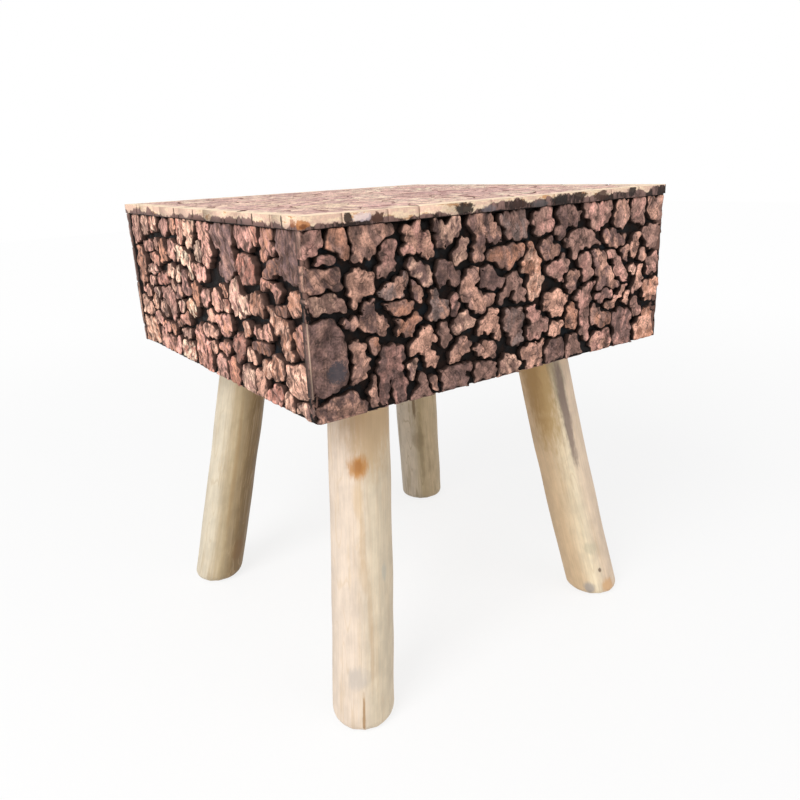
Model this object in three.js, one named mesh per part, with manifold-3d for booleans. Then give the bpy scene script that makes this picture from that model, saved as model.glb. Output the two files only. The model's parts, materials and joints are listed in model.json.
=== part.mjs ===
// A square stool: a box clad in sawn driftwood slices, on four splayed log legs.
// Millimetres, +Z up. The origin is on the floor under the middle of the seat.
// The front faces -Y and the left side faces -X.
import * as THREE from 'three';
import { mergeVertices } from 'three/addons/utils/BufferGeometryUtils.js';
import Module from 'manifold-3d';

const wasm = await Module();
wasm.setup();

// Driving sizes of the whole stool
const stoolWidth = 400;
const stoolDepth = 400;
const boxHeight = 150;
const legHeight = 300;

// The skin: slices of wood pressed into a bed of dark filler
const bedThickness = 4;
const sliceProud = 6;
const sidePitch = 29;
const topPitch = 36;
const topSliceGap = 2.4;
const sideSliceGap = 4.4;

// The box under the skin
const boardThickness = 12;
const blockSide = 40;

// The legs
const legDiameter = 56;
const legInset = 88;
const legSplayOffset = 52;
const footRounding = 9;

// The hardware inside
const boltDiameter = 8;
const boltInLeg = 45;
const boltPastNut = 5;
const barrelDiameter = 11;
const barrelLength = 9;
const flangeDiameter = 22;
const flangeThickness = 1.6;
const screwDiameter = 4;
const screwHeadDiameter = 8;
const screwHeadRim = 0.4;
const screwHeadDepth = 2.6;
const screwLength = 38;
const screwEdge = 12;

// Running clearance round hardware, and how far a cut runs past what it cuts
const clearance = 0.3;
const overrun = 1;

// Sides of the round pieces
const legSides = 16;
const hardwareSides = 12;
const screwSides = 10;

// Sizes that follow
const skin = bedThickness + sliceProud;
const boxOuterWidth = stoolWidth - 2 * skin;
const boxOuterDepth = stoolDepth - 2 * skin;
const boxInnerWidth = boxOuterWidth - 2 * boardThickness;
const boxInnerDepth = boxOuterDepth - 2 * boardThickness;
const stoolHeight = legHeight + boxHeight;
const seatBoardBase = stoolHeight - skin - boardThickness;
const sideSkinHeight = boxHeight - skin;
const apronHeight = seatBoardBase - legHeight;
const floorBoardTop = legHeight + boardThickness;
const blockHeight = seatBoardBase - floorBoardTop;
const legTopX = stoolWidth / 2 - legInset;
const legTopY = stoolDepth / 2 - legInset;

const acrossShares = 400;
const upShares = 140;

// The sawn faces of the front, drawn from left to right, as pairs of across and up.
// Across counts 400ths of the width of the stool and up counts 140ths of the panel.
const frontSliceShares = [
  // top row
  [0, 137, 16, 138, 18, 130, 13, 123, 0, 122],
  [20, 136, 28, 138, 38, 128, 38, 118, 33, 116, 28, 122, 19, 125],
  [42, 138, 79, 138, 76, 132, 64, 127, 60, 119, 51, 117, 47, 113, 41, 116, 42, 129],
  [69, 128, 76, 129, 82, 123, 79, 117, 78, 103, 69, 103, 61, 100, 66, 111, 63, 116],
  [87, 136, 98, 136, 106, 129, 113, 125, 115, 115, 109, 109, 104, 117, 84, 115, 84, 120, 89, 124],
  [115, 137, 122, 136, 125, 133, 132, 138, 143, 136, 140, 124, 133, 121, 127, 113, 117, 121, 119, 129],
  [
    150, 138, 175, 138, 177, 131, 187, 124, 186, 117, 180, 115,
    167, 121, 164, 102, 152, 102, 158, 113, 158, 122, 151, 128,
  ],
  [143, 125, 149, 121, 148, 112, 143, 102, 136, 103, 137, 112],
  [185, 136, 210, 137, 217, 131, 214, 118, 208, 115, 191, 119, 191, 127, 185, 130],
  [221, 137, 246, 136, 247, 128, 241, 121, 231, 115, 227, 114, 225, 123, 220, 130],
  [252, 136, 262, 138, 273, 138, 282, 132, 276, 122, 265, 121, 262, 114, 256, 112, 251, 117, 257, 125],
  [286, 136, 315, 138, 323, 134, 323, 127, 312, 118, 305, 113, 299, 116, 293, 126],
  [330, 136, 347, 138, 351, 130, 350, 121, 339, 112, 331, 116, 328, 127],
  [354, 137, 368, 137, 373, 127, 373, 119, 366, 115, 354, 118, 353, 128],
  [376, 137, 400, 138, 400, 117, 386, 118, 381, 123],
  // second row
  [9, 115, 13, 122, 20, 123, 26, 119, 24, 115],
  [0, 113, 25, 113, 31, 109, 31, 99, 27, 97, 18, 98, 11, 96, 0, 98],
  [40, 109, 45, 111, 50, 106, 57, 104, 59, 98, 55, 90, 45, 88, 40, 82, 38, 86, 36, 96],
  [118, 106, 125, 109, 130, 106, 132, 99, 141, 95, 140, 88, 134, 86, 129, 91, 120, 85, 116, 96],
  [169, 105, 176, 107, 185, 113, 211, 111, 210, 102, 203, 99, 199, 91, 191, 94, 185, 92, 181, 98],
  [
    217, 112, 224, 111, 228, 101, 231, 97, 230, 88, 236, 78,
    233, 63, 221, 61, 216, 76, 218, 86, 210, 87, 210, 97, 217, 101,
  ],
  [231, 107, 237, 113, 245, 112, 254, 103, 254, 97, 245, 95, 234, 99],
  [
    262, 109, 273, 113, 286, 120, 293, 117, 302, 108,
    311, 104, 309, 101, 288, 101, 279, 98, 275, 92, 270, 101,
  ],
  [317, 112, 332, 113, 333, 109, 345, 106, 346, 98, 332, 96, 321, 100],
  [358, 106, 364, 109, 367, 95, 363, 84, 356, 84, 354, 92, 357, 99],
  [375, 108, 384, 113, 400, 113, 396, 99, 387, 88, 380, 93],
  [368, 93, 374, 89, 375, 82, 370, 79, 367, 86],
  [340, 94, 348, 98, 350, 88, 348, 82, 342, 88],
  // third row
  [1, 91, 7, 94, 22, 94, 34, 87, 30, 81, 10, 80, 2, 84],
  [61, 91, 68, 89, 80, 98, 88, 103, 89, 95, 84, 91, 84, 85, 76, 82, 62, 86],
  [66, 81, 84, 81, 94, 78, 93, 73, 82, 70, 69, 75],
  [89, 110, 94, 112, 99, 106, 107, 105, 112, 97, 110, 88, 104, 88, 96, 98, 91, 102],
  [92, 96, 98, 93, 103, 87, 100, 78, 95, 82, 91, 90],
  [142, 89, 150, 96, 160, 99, 160, 87, 155, 82, 164, 75, 177, 73, 176, 66, 160, 58, 150, 70, 142, 79],
  [163, 98, 176, 98, 181, 90, 189, 85, 188, 79, 170, 77, 163, 83, 166, 90],
  [200, 91, 208, 82, 214, 71, 215, 62, 203, 61, 199, 76, 187, 65, 183, 68, 192, 82],
  [242, 90, 255, 92, 261, 97, 268, 93, 266, 83, 261, 79, 261, 73, 254, 75, 242, 82],
  [270, 80, 278, 82, 282, 76, 277, 63, 271, 61, 266, 67],
  [280, 90, 288, 97, 296, 95, 299, 86, 299, 72, 288, 72, 286, 85],
  [297, 97, 308, 97, 317, 90, 321, 78, 337, 61, 333, 57, 320, 64, 313, 58, 308, 60, 310, 73, 301, 87],
  [321, 95, 334, 92, 341, 83, 350, 69, 350, 63, 343, 64, 331, 75, 333, 82, 324, 88],
  [379, 75, 388, 84, 396, 86, 396, 68, 384, 66],
  [353, 79, 360, 80, 362, 72, 357, 68, 352, 71],
  [367, 76, 375, 75, 371, 62, 371, 53, 360, 50, 358, 54, 366, 64],
  // fourth row
  [0, 76, 12, 78, 20, 75, 27, 67, 31, 56, 33, 44, 32, 33, 23, 22, 0, 21],
  [33, 56, 41, 58, 48, 50, 49, 37, 46, 29, 40, 24, 32, 24, 38, 38],
  [27, 73, 46, 71, 50, 77, 50, 84, 58, 86, 57, 77, 62, 71, 70, 66, 66, 59, 58, 60, 46, 66, 31, 66],
  [74, 68, 84, 64, 90, 69, 99, 69, 97, 60, 90, 51, 84, 56, 76, 54, 78, 62],
  [110, 86, 116, 86, 118, 79, 129, 76, 128, 62, 110, 61, 108, 67, 112, 74],
  [131, 79, 137, 77, 138, 66, 135, 60, 131, 64],
  [121, 59, 125, 59, 130, 41, 119, 40, 119, 50],
  [131, 52, 139, 62, 148, 62, 157, 55, 151, 48, 134, 48],
  [102, 59, 108, 59, 109, 50, 115, 46, 108, 43, 117, 24, 105, 24, 100, 39, 90, 37, 88, 42, 100, 50],
  [167, 57, 172, 62, 178, 61, 182, 50, 187, 34, 183, 30, 177, 42, 166, 45, 163, 39, 158, 43, 160, 49],
  [190, 56, 210, 57, 212, 46, 209, 38, 212, 30, 206, 24, 198, 28, 196, 37, 189, 39],
  [216, 58, 226, 57, 232, 45, 243, 40, 240, 32, 225, 27, 214, 31, 221, 38],
  [235, 57, 246, 67, 256, 62, 268, 61, 269, 54, 260, 49, 257, 42, 246, 45],
  [268, 49, 275, 52, 282, 40, 282, 30, 272, 27, 265, 38],
  [276, 58, 293, 64, 300, 69, 305, 66, 299, 56, 297, 28, 301, 14, 296, 12, 288, 22, 284, 34, 284, 50],
  [305, 53, 318, 59, 327, 57, 326, 50, 312, 49],
  [349, 51, 354, 52, 354, 40, 348, 39, 345, 45],
  [321, 41, 336, 50, 347, 61, 350, 59, 339, 46, 325, 38],
  [378, 54, 384, 60, 400, 60, 398, 44, 385, 38, 378, 46],
  // fifth row
  [53, 56, 58, 56, 60, 47, 57, 44, 54, 49],
  [66, 50, 80, 46, 84, 40, 79, 32, 84, 20, 84, 0, 72, 0, 69, 26, 66, 0, 59, 0, 59, 30, 62, 44],
  [87, 31, 97, 32, 93, 20, 88, 18, 86, 23],
  [134, 38, 141, 42, 152, 36, 148, 29, 138, 23, 129, 21, 127, 31],
  [244, 35, 252, 39, 261, 36, 260, 26, 252, 23, 245, 26],
  [300, 43, 306, 45, 314, 38, 329, 34, 328, 29, 314, 21, 300, 30],
  [358, 43, 364, 44, 376, 34, 372, 27, 363, 24],
  [333, 32, 343, 37, 357, 33, 361, 24, 357, 16, 361, 0, 334, 0, 336, 14],
  [154, 31, 173, 33, 179, 26, 178, 19, 170, 19, 158, 24],
  [379, 33, 386, 32, 393, 20, 400, 0, 371, 0, 364, 10, 367, 19, 376, 24],
  // bottom row
  [4, 10, 14, 19, 31, 20, 39, 13, 47, 10, 46, 0, 6, 0],
  [50, 20, 54, 28, 56, 24, 56, 0, 49, 0],
  [99, 20, 104, 19, 105, 9, 111, 0, 88, 0, 90, 7, 97, 12],
  [107, 14, 113, 14, 115, 4, 109, 5],
  [117, 19, 138, 20, 153, 17, 142, 12, 148, 0, 118, 0, 122, 8],
  [157, 17, 176, 16, 181, 7, 177, 0, 155, 0],
  [190, 22, 205, 14, 206, 0, 182, 0, 187, 13],
  [211, 16, 221, 23, 227, 19, 237, 25, 234, 13, 236, 0, 213, 0, 216, 9],
  [240, 18, 247, 22, 263, 21, 265, 0, 240, 0],
  [268, 16, 273, 22, 281, 18, 289, 7, 288, 0, 268, 0],
  [303, 15, 309, 18, 323, 18, 331, 14, 328, 0, 302, 0],
];
// The faces of the left side, counted the same way from its back corner to its front one.
const leftSliceShares = [
  // top row
  [0, 137, 36, 138, 33, 130, 39, 123, 33, 116, 20, 109, 0, 110],
  [41, 137, 66, 138, 67, 128, 59, 122, 48, 124],
  [71, 137, 85, 138, 92, 133, 86, 126, 73, 126],
  [97, 134, 112, 138, 126, 135, 119, 126, 103, 123],
  [131, 137, 144, 138, 148, 130, 141, 124, 132, 128],
  [150, 136, 168, 138, 167, 128, 161, 118, 151, 118],
  [171, 137, 197, 138, 192, 130, 187, 118, 177, 114],
  [200, 136, 229, 138, 227, 128, 229, 117, 227, 106, 221, 100, 214, 103, 213, 124, 206, 130],
  [
    233, 136, 250, 138, 275, 137, 278, 128, 273, 118,
    279, 111, 270, 96, 256, 92, 242, 101, 251, 119, 234, 126,
  ],
  [282, 136, 309, 138, 315, 129, 312, 121, 302, 119, 286, 124],
  [318, 137, 328, 138, 325, 128, 318, 127],
  [331, 137, 350, 138, 353, 134, 346, 131, 354, 126, 350, 120, 339, 119, 334, 113, 327, 114, 332, 122],
  [357, 136, 367, 138, 396, 138, 400, 124, 396, 112, 381, 99, 362, 108, 361, 120],
  // second row
  [42, 113, 62, 115, 74, 113, 71, 104, 52, 105],
  [77, 118, 87, 117, 88, 109, 80, 106],
  [91, 116, 99, 118, 105, 110, 113, 105, 109, 97, 95, 97],
  [118, 117, 136, 118, 133, 99, 122, 100],
  [140, 114, 160, 112, 177, 109, 176, 91, 171, 85, 167, 98, 142, 104],
  [190, 116, 202, 118, 205, 111, 201, 103, 192, 104],
  [181, 97, 193, 101, 208, 99, 208, 89, 200, 85, 186, 90],
  [289, 116, 300, 118, 312, 116, 318, 107, 314, 97, 300, 92, 288, 98, 284, 107],
  [332, 103, 344, 115, 357, 118, 354, 110, 342, 101],
  [324, 99, 342, 100, 354, 95, 355, 87, 349, 84, 342, 94, 325, 94],
  [369, 92, 378, 96, 393, 95, 396, 87, 382, 77, 370, 79],
  // third row
  [9, 104, 22, 107, 33, 103, 36, 94, 33, 70, 14, 62, 6, 72],
  [57, 99, 70, 103, 83, 101, 86, 93, 76, 91],
  [47, 89, 74, 90, 76, 84, 66, 79, 48, 80],
  [43, 75, 56, 78, 69, 77, 64, 69, 46, 67],
  [73, 77, 90, 81, 104, 85, 106, 76, 97, 71],
  [106, 90, 118, 94, 130, 91, 126, 83, 109, 82],
  [109, 77, 117, 79, 125, 73, 119, 67],
  [131, 92, 142, 93, 143, 84, 138, 78, 129, 80],
  [147, 92, 157, 93, 161, 77, 167, 73, 160, 69, 145, 70],
  [171, 79, 180, 82, 189, 78, 189, 63, 182, 60, 171, 67],
  [191, 74, 200, 79, 214, 77, 217, 70, 204, 63, 194, 65],
  [220, 78, 231, 81, 239, 76, 240, 67, 231, 62, 219, 66],
  [243, 88, 252, 87, 258, 80, 251, 77, 244, 80],
  [262, 87, 271, 96, 282, 95, 283, 85, 299, 78, 297, 70, 281, 64, 262, 70],
  [303, 82, 320, 89, 326, 84, 322, 73, 306, 69],
  [330, 78, 341, 80, 346, 74, 362, 73, 369, 67, 364, 52, 375, 46, 366, 41, 352, 45, 351, 62, 341, 60],
  [374, 68, 388, 71, 394, 62, 393, 53, 379, 45, 373, 57],
  [346, 82, 363, 82, 365, 76, 349, 76],
  // fourth row
  [24, 61, 37, 64, 47, 60, 42, 52, 28, 53],
  [60, 63, 70, 68, 75, 61, 69, 54],
  [52, 57, 58, 59, 66, 50, 60, 42, 51, 44],
  [83, 65, 106, 71, 118, 65, 117, 50, 106, 34, 99, 52, 86, 57],
  [128, 75, 138, 76, 142, 68, 137, 63, 128, 62],
  [129, 57, 142, 61, 146, 56, 139, 48],
  [148, 60, 160, 65, 173, 62, 175, 55, 160, 50],
  [203, 58, 211, 61, 220, 59, 216, 49, 206, 50],
  [225, 57, 240, 60, 252, 62, 257, 54, 250, 45, 235, 41, 226, 47],
  [246, 74, 257, 76, 260, 68, 247, 66],
  [283, 59, 292, 63, 299, 57, 292, 49, 283, 50],
  [303, 60, 318, 58, 332, 67, 336, 58, 328, 50, 306, 52],
  // fifth row
  [0, 47, 18, 50, 43, 43, 43, 36, 20, 33, 0, 34],
  [72, 52, 85, 54, 91, 45, 84, 38, 73, 43],
  [46, 36, 57, 40, 67, 37, 69, 28, 50, 25],
  [73, 28, 87, 31, 94, 26, 83, 20, 75, 22],
  [95, 34, 108, 30, 110, 22, 101, 21],
  [117, 37, 128, 41, 133, 36, 124, 31],
  [132, 44, 152, 51, 152, 40, 138, 36],
  [163, 34, 176, 41, 187, 37, 191, 24, 188, 0, 165, 0, 165, 20],
  [191, 45, 209, 46, 225, 43, 222, 37, 196, 35],
  [228, 34, 241, 38, 250, 33, 244, 25, 231, 25],
  [258, 42, 276, 48, 283, 43, 279, 31, 266, 22, 259, 30],
  [297, 43, 312, 48, 328, 49, 326, 42, 310, 38],
  [281, 34, 297, 39, 304, 34, 300, 29, 284, 28],
  [313, 30, 336, 38, 348, 38, 352, 29, 335, 22, 317, 22],
  [356, 36, 380, 42, 391, 42, 392, 28, 389, 17, 367, 15, 355, 22],
  // bottom row
  [0, 29, 20, 27, 44, 27, 50, 18, 51, 0, 0, 0],
  [57, 21, 79, 18, 82, 8, 77, 0, 55, 0],
  [86, 17, 98, 18, 103, 8, 99, 0, 84, 0],
  [108, 19, 116, 20, 119, 10, 113, 0, 106, 0],
  [126, 31, 153, 31, 151, 24, 128, 24],
  [123, 18, 140, 20, 158, 20, 161, 9, 154, 0, 122, 0],
  [194, 31, 201, 30, 202, 14, 199, 0, 191, 0],
  [205, 32, 217, 30, 216, 22, 206, 21],
  [217, 19, 232, 22, 238, 14, 236, 0, 213, 0],
  [240, 18, 251, 23, 261, 18, 263, 0, 241, 0],
  [270, 18, 286, 23, 296, 20, 294, 0, 267, 0],
  [299, 22, 312, 23, 317, 13, 313, 0, 297, 0],
  [319, 10, 330, 15, 345, 18, 347, 8, 338, 0, 318, 0],
  [350, 13, 362, 14, 364, 0, 345, 0],
  [368, 10, 387, 14, 398, 11, 398, 0, 367, 0],
];

// How the cells of the faces that are drawn by rule vary, as shares of their pitch
const seedShakeShare = 0.27;
const weightShare = 0.1;
const shortEdgeShare = 0.26;
const rimEdgeShare = 0.03;
const notchEdgeShare = 0.45;
const notchPlaceShares = [0.35, 0.65];
const notchDepthShares = [0.14, 0.26];
const notchRoomShare = 0.8;
const notchChanceShare = 0.5;
const rowPitchShare = 0.87;
const rowShiftShare = 0.25;
const smallestCellShare = 0.1;
const reachShare = 2.4;
const layoutSeed = 7;

// How far the top and foot of each leg stand off their places, and how it bows, as shares
// of its diameter. Its section swells twice and three times round, each by a share and at a
// share of a turn.
const legs = [
  {
    name: 'front_left', sideX: -1, sideY: -1, girthShare: 0.98,
    topShares: [0.037, -0.026], footShares: [0.09, -0.067], bowShares: [0.012, -0.028],
    lobeShares: [0.022, 0.15, 0.018, 0.6],
  },
  {
    name: 'front_right', sideX: 1, sideY: -1, girthShare: 0.99,
    topShares: [0.063, -0.044], footShares: [0.08, 0.11], bowShares: [-0.03, 0.006],
    lobeShares: [0.026, 0.4, 0.016, 0.1],
  },
  {
    name: 'back_left', sideX: -1, sideY: 1, girthShare: 0.98,
    topShares: [0, 0], footShares: [-0.037, -0.156], bowShares: [0.04, 0.03],
    lobeShares: [0.03, 0.7, 0.02, 0.3],
  },
  {
    name: 'back_right', sideX: 1, sideY: 1, girthShare: 1,
    topShares: [0.028, -0.02], footShares: [0.098, 0.13], bowShares: [-0.03, -0.05],
    lobeShares: [0.024, 0.9, 0.02, 0.8],
  },
];
const legTaperShare = 0.017;
const legRingShares = [0.2, 0.4, 0.6, 0.8, 1];
const footRingCount = 3;

const stool = new THREE.Group();

// Materials
function wood(color, roughness) {
  return new THREE.MeshStandardMaterial({ color, roughness, metalness: 0 });
}
const sideSliceMaterial = () => wood(0xab8674, 0.75);
const topSliceMaterial = () => wood(0xd9bda8, 0.75);
const boardMaterial = () => wood(0xc9ab7f, 0.7);
const blockMaterial = () => wood(0xd8bb8b, 0.7);
const legMaterial = () => wood(0xd9c4a4, 0.6);
const steelMaterial = () => (
  new THREE.MeshStandardMaterial({ color: 0xb8babd, roughness: 0.35, metalness: 1 })
);

// A closed geometry as a solid that can be joined and cut
function toSolid(source) {
  const geometry = source.clone();
  geometry.deleteAttribute('normal');
  geometry.deleteAttribute('uv');
  const merged = mergeVertices(geometry);
  return new wasm.Manifold(new wasm.Mesh({
    numProp: 3,
    vertProperties: new Float32Array(merged.attributes.position.array),
    triVerts: new Uint32Array(merged.index.array),
  }));
}

// A solid back as a geometry
function toGeometry(solid) {
  const mesh = solid.getMesh();
  const geometry = new THREE.BufferGeometry();
  geometry.setAttribute('position', new THREE.BufferAttribute(new Float32Array(mesh.vertProperties), 3));
  geometry.setIndex(new THREE.BufferAttribute(new Uint32Array(mesh.triVerts), 1));
  const flat = geometry.toNonIndexed();
  flat.computeVertexNormals();
  return flat;
}

function addPiece(name, geometry, material, x, y, z) {
  const mesh = new THREE.Mesh(geometry, material);
  mesh.name = name;
  mesh.position.set(x, y, z);
  stool.add(mesh);
}

// A box that stands on its base, centred over it
function standingBox(width, depth, height) {
  const geometry = new THREE.BoxGeometry(width, depth, height);
  geometry.translate(0, 0, height / 2);
  return geometry;
}

// A turned body that stands upright, from pairs of radius and height
function turned(profile, sides) {
  const points = profile.map(([radius, height]) => new THREE.Vector2(radius, height));
  const geometry = new THREE.LatheGeometry(points, sides);
  geometry.rotateX(Math.PI / 2);
  return geometry;
}

// One slice as a prism whose foot sinks into the bed
function slicePrism(points) {
  const shape = new THREE.Shape(points.map(([across, up]) => new THREE.Vector2(across, up)));
  const prism = new THREE.ExtrudeGeometry(shape, { depth: sliceProud + overrun, bevelEnabled: false });
  prism.translate(0, 0, bedThickness - overrun);
  return toSolid(prism);
}

// A panel of skin, drawn flat with its middle at the origin and its slices up +Z
function skinPanel(outlines, width, height) {
  const bed = toSolid(standingBox(width, height, bedThickness));
  const limits = toSolid(standingBox(width, height, skin));
  const slices = outlines.map(slicePrism).reduce((all, slice) => all.add(slice));
  return toGeometry(bed.add(slices.intersect(limits)));
}

// Turns a flat panel to a side of the box: its across, up and outward ways, exact
function facing(geometry, across, up, outward) {
  const turn = new THREE.Matrix4().makeBasis(
    new THREE.Vector3(...across),
    new THREE.Vector3(...up),
    new THREE.Vector3(...outward),
  );
  return geometry.applyMatrix4(turn);
}

// Outlines written as shares of a panel, in millimetres from its middle
function outlinesFromShares(tables, width, height) {
  return tables.map((table) => {
    const points = [];
    for (let i = 0; i < table.length; i += 2) {
      points.push([
        (table[i] / acrossShares - 0.5) * width,
        (table[i + 1] / upShares - 0.5) * height,
      ]);
    }
    return points;
  });
}

// The same run of chance numbers every time
THREE.MathUtils.seededRandom(layoutSeed);
const random = () => THREE.MathUtils.seededRandom();

// Keeps the part of a convex outline that lies on the near side of a line
function clipOutline(points, middle, outward) {
  const side = ([x, y]) => (x - middle[0]) * outward[0] + (y - middle[1]) * outward[1];
  const kept = [];
  points.forEach((point, i) => {
    const next = points[(i + 1) % points.length];
    const here = side(point);
    const there = side(next);
    if (here <= 0) kept.push(point);
    if (here * there < 0) {
      const share = here / (here - there);
      kept.push([
        point[0] + (next[0] - point[0]) * share,
        point[1] + (next[1] - point[1]) * share,
      ]);
    }
  });
  return kept;
}

function outlineArea(points) {
  return THREE.ShapeUtils.area(points.map(([x, y]) => new THREE.Vector2(x, y)));
}

function outlineLength(points) {
  return points.reduce((sum, [x, y], i) => {
    const [nextX, nextY] = points[(i + 1) % points.length];
    return sum + Math.hypot(nextX - x, nextY - y);
  }, 0);
}

// Leaves out points that crowd the one before, and on the rim only those that all but meet
function thinOutline(points, pitch, onRim) {
  return points.filter((point, i) => {
    const last = points[(i + points.length - 1) % points.length];
    const leastShare = onRim(point) ? rimEdgeShare : shortEdgeShare;
    return Math.hypot(point[0] - last[0], point[1] - last[1]) > leastShare * pitch;
  });
}

// Bites a notch into some of the long edges, so that cells lock like driftwood. A notch
// is never deeper than a slender cell has room for.
function notchOutline(points, pitch, onRim) {
  const room = notchRoomShare * outlineArea(points) / outlineLength(points);
  const notched = [];
  points.forEach((point, i) => {
    const next = points[(i + 1) % points.length];
    const across = [next[0] - point[0], next[1] - point[1]];
    const length = Math.hypot(...across);
    notched.push(point);
    const rimEdge = onRim(point) && onRim(next);
    if (rimEdge || length < notchEdgeShare * pitch || random() > notchChanceShare) return;
    const along = THREE.MathUtils.lerp(...notchPlaceShares, random());
    const depth = Math.min(THREE.MathUtils.lerp(...notchDepthShares, random()) * length, room);
    notched.push([
      point[0] + across[0] * along - across[1] / length * depth,
      point[1] + across[1] * along + across[0] / length * depth,
    ]);
  });
  return notched;
}

// Slices of a panel by rule: cells round shaken seeds, each kept off its neighbours
function cellOutlines(width, height, pitch, gap) {
  const columns = Math.round(width / pitch);
  const rows = Math.round(height / (pitch * rowPitchShare));
  const seeds = [];
  for (let row = 0; row < rows; row += 1) {
    for (let column = 0; column < columns; column += 1) {
      const shift = row % 2 ? rowShiftShare : -rowShiftShare;
      const shakeX = seedShakeShare * THREE.MathUtils.lerp(-1, 1, random());
      const shakeY = seedShakeShare * THREE.MathUtils.lerp(-1, 1, random());
      seeds.push({
        x: ((column + 0.5 + shift + shakeX) / columns - 0.5) * width,
        y: ((row + 0.5 + shakeY) / rows - 0.5) * height,
        weight: weightShare * pitch * random(),
      });
    }
  }
  const rim = [[-1, -1], [1, -1], [1, 1], [-1, 1]].map(([x, y]) => [x * width / 2, y * height / 2]);
  const onRim = ([x, y]) => Math.abs(x) === width / 2 || Math.abs(y) === height / 2;
  return seeds.map((seed) => {
    let outline = rim;
    seeds.forEach((other) => {
      const away = [other.x - seed.x, other.y - seed.y];
      const distance = Math.hypot(...away);
      if (other === seed || distance > reachShare * pitch) return;
      const outward = [away[0] / distance, away[1] / distance];
      const reach = distance / 2 + seed.weight - other.weight - gap / 2;
      outline = clipOutline(
        outline,
        [seed.x + outward[0] * reach, seed.y + outward[1] * reach],
        outward,
      );
    });
    return notchOutline(thinOutline(outline, pitch, onRim), pitch, onRim);
  }).filter((outline) => outline.length > 2 && outlineArea(outline) > smallestCellShare * pitch * pitch);
}

// The skin on the five faces of the box
function addSkin() {
  const front = outlinesFromShares(frontSliceShares, stoolWidth, sideSkinHeight);
  const left = outlinesFromShares(leftSliceShares, stoolDepth, sideSkinHeight);
  const back = cellOutlines(stoolWidth, sideSkinHeight, sidePitch, sideSliceGap);
  const right = cellOutlines(boxOuterDepth, sideSkinHeight, sidePitch, sideSliceGap);
  const top = cellOutlines(stoolWidth, stoolDepth, topPitch, topSliceGap);
  const middle = legHeight + sideSkinHeight / 2;
  addPiece(
    'slices_front',
    facing(skinPanel(front, stoolWidth, sideSkinHeight), [1, 0, 0], [0, 0, 1], [0, -1, 0]),
    sideSliceMaterial(), 0, -boxOuterDepth / 2, middle,
  );
  addPiece(
    'slices_back',
    facing(skinPanel(back, stoolWidth, sideSkinHeight), [-1, 0, 0], [0, 0, 1], [0, 1, 0]),
    sideSliceMaterial(), 0, boxOuterDepth / 2, middle,
  );
  addPiece(
    'slices_left',
    facing(skinPanel(left, boxOuterDepth, sideSkinHeight), [0, -1, 0], [0, 0, 1], [-1, 0, 0]),
    sideSliceMaterial(), -boxOuterWidth / 2, 0, middle,
  );
  addPiece(
    'slices_right',
    facing(skinPanel(right, boxOuterDepth, sideSkinHeight), [0, 1, 0], [0, 0, 1], [1, 0, 0]),
    sideSliceMaterial(), boxOuterWidth / 2, 0, middle,
  );
  addPiece(
    'slices_top',
    skinPanel(top, stoolWidth, stoolDepth),
    topSliceMaterial(), 0, 0, stoolHeight - skin,
  );
}

// The boards of the box
function addBoards() {
  const longApron = standingBox(boxOuterWidth, boardThickness, apronHeight);
  const shortApron = standingBox(boardThickness, boxInnerDepth, apronHeight);
  const apronX = (boxOuterWidth - boardThickness) / 2;
  const apronY = (boxOuterDepth - boardThickness) / 2;
  addPiece('seat_board', standingBox(boxOuterWidth, boxOuterDepth, boardThickness), boardMaterial(),
    0, 0, seatBoardBase);
  addPiece('apron_front', longApron, boardMaterial(), 0, -apronY, legHeight);
  addPiece('apron_back', longApron.clone(), boardMaterial(), 0, apronY, legHeight);
  addPiece('apron_left', shortApron, boardMaterial(), -apronX, 0, legHeight);
  addPiece('apron_right', shortApron.clone(), boardMaterial(), apronX, 0, legHeight);
}

// Where the middle of a leg's top comes under the box
function legTopPlace({ sideX, sideY, topShares }) {
  return [
    sideX * legTopX + topShares[0] * legDiameter,
    sideY * legTopY + topShares[1] * legDiameter,
  ];
}

// Places of the two screws under each corner block, from the box's middle
function screwPlaces(sideX, sideY) {
  const nearX = boxInnerWidth / 2 - screwEdge;
  const nearY = boxInnerDepth / 2 - screwEdge;
  const farX = boxInnerWidth / 2 - blockSide + screwEdge;
  const farY = boxInnerDepth / 2 - blockSide + screwEdge;
  return [[farX, nearY], [nearX, farY]].map(([x, y]) => [x * sideX, y * sideY]);
}

// A countersunk screw, head down, or the hole for it with a mouth that runs on below
function screwProfile(spare, mouth) {
  const headRadius = screwHeadDiameter / 2 + spare;
  const shankRadius = screwDiameter / 2 + spare;
  return [
    [0, -mouth],
    [headRadius, -mouth],
    [headRadius, screwHeadRim],
    [shankRadius, screwHeadDepth],
    [shankRadius, screwLength - shankRadius],
    [0, screwLength + spare],
  ];
}

// The floor of the box, drilled for the nuts of the legs and the block screws
function addFloorBoard() {
  let board = toSolid(standingBox(boxInnerWidth, boxInnerDepth, boardThickness));
  const nutRadius = barrelDiameter / 2 + clearance;
  const nutHole = toSolid(turned([
    [0, -overrun],
    [nutRadius, -overrun],
    [nutRadius, boardThickness + overrun],
    [0, boardThickness + overrun],
  ], hardwareSides));
  const screwHole = toSolid(turned(screwProfile(clearance, overrun), screwSides));
  legs.forEach((leg) => {
    board = board.subtract(nutHole.translate(...legTopPlace(leg), 0));
    screwPlaces(leg.sideX, leg.sideY).forEach(([x, y]) => {
      board = board.subtract(screwHole.translate(x, y, 0));
    });
  });
  addPiece('floor_board', toGeometry(board), boardMaterial(), 0, 0, legHeight);
}

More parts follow.
